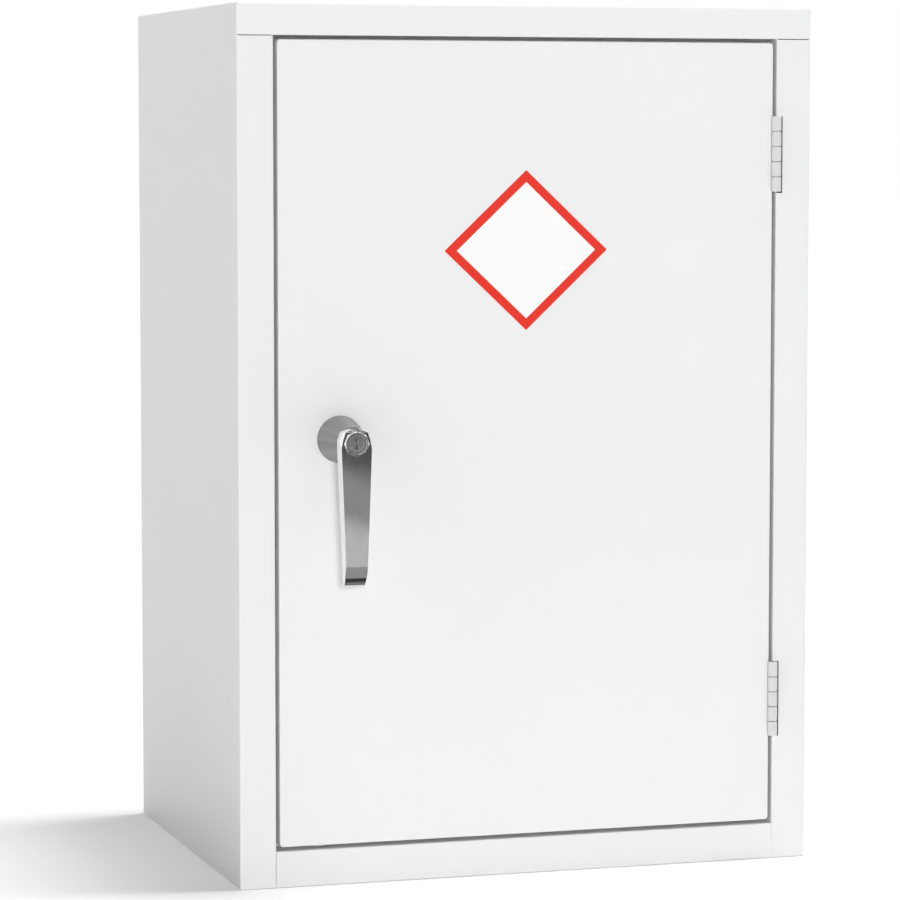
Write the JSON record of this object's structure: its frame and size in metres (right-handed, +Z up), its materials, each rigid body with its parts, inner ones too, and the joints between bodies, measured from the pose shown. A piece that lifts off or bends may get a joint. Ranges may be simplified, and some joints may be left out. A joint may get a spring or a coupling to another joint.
{
  "type": "chemical storage cabinet",
  "caption": "Small free-standing steel cabinet with an inset hinged door, a locking swing handle that throws rods and a tongue, a shelf and a spill tray.",
  "frame": {"origin": "centre of the base's footprint, on the floor", "axes": "+Z up, the door's face towards -Y, +X to the right seen from the front, where the hinges are"},
  "size_m": [0.49, 0.4112, 0.712],
  "materials": {
    "cabinet_coat": "white powder coat, fine texture, semi-matt",
    "hinge_coat": "white powder coat over steel, semi-matt",
    "label_plate": "printed vinyl, satin, white field with a red border",
    "lever_chrome": "polished chrome plate",
    "rose_nickel": "satin nickel plate",
    "lock_chrome": "polished chrome plate",
    "plug_nickel": "satin nickel plate",
    "zinc_steel": "bright zinc plate",
    "guide_plastic": "moulded, matt",
    "buffer_rubber": "matt"
  },
  "bodies": {
    "carcass_body": {"back_panel": "cabinet_coat", "base_panel": "cabinet_coat", "left_side_panel": "cabinet_coat", "lower_hinge_frame_leaf": "hinge_coat", "lower_hinge_pin": "zinc_steel", "right_side_panel": "cabinet_coat", "shelf": "cabinet_coat", "shelf_clips": "zinc_steel", "shelf_strip_left_back": "cabinet_coat", "shelf_strip_left_front": "cabinet_coat", "shelf_strip_right_back": "cabinet_coat", "shelf_strip_right_front": "cabinet_coat", "spill_tray": "cabinet_coat", "top_panel": "cabinet_coat", "upper_hinge_frame_leaf": "hinge_coat", "upper_hinge_pin": "zinc_steel"},
    "door_body": {"door_skin": "cabinet_coat", "door_stiffener": "cabinet_coat", "door_label": "label_plate", "door_buffers": "buffer_rubber", "upper_hinge_door_leaf": "hinge_coat", "lower_hinge_door_leaf": "hinge_coat", "handle_rose": "rose_nickel", "shank_nut": "zinc_steel", "top_rod_guide": "guide_plastic", "bottom_rod_guide": "guide_plastic"},
    "handle_body": {"handle_lever": "lever_chrome", "lock_cylinder": "lock_chrome", "handle_spindle": "zinc_steel", "spindle_spacer": "zinc_steel", "lock_cam": "zinc_steel", "cam_pins": "zinc_steel", "lock_tongue": "zinc_steel", "tongue_washer": "zinc_steel", "tongue_nut": "zinc_steel"},
    "plug_body": {"lock_plug": "plug_nickel"},
    "top_rod_body": {"top_rod": "zinc_steel"},
    "bottom_rod_body": {"bottom_rod": "zinc_steel"}
  },
  "joints": [
    {"name": "door_swing", "type": "hinge", "parent": "carcass_body", "child": "door_body", "pos_m": [0.2134, -0.1842, 0], "axis": [0, 0, 1], "range_deg": [0, 180]},
    {"name": "handle_turn", "type": "hinge", "parent": "door_body", "child": "handle_body", "pos_m": [-0.161, -0.18, 0.363], "axis": [0, -1, 0], "range_deg": [0, 90]},
    {"name": "key_turn", "type": "hinge", "parent": "handle_body", "child": "plug_body", "pos_m": [-0.161, -0.23, 0.363], "axis": [0, -1, 0], "range_deg": [0, 90]},
    {"name": "top_rod_slide", "type": "slide", "parent": "door_body", "child": "top_rod_body", "axis": [0, 0, 1], "range_m": [0, 0.0198]},
    {"name": "bottom_rod_slide", "type": "slide", "parent": "door_body", "child": "bottom_rod_body", "axis": [0, 0, -1], "range_m": [0, 0.0198]}
  ],
  "couplings": [
    {"joint": "top_rod_slide", "follows": "handle_turn", "m_per_rad": 0.012604},
    {"joint": "bottom_rod_slide", "follows": "handle_turn", "m_per_rad": 0.012604}
  ]
}
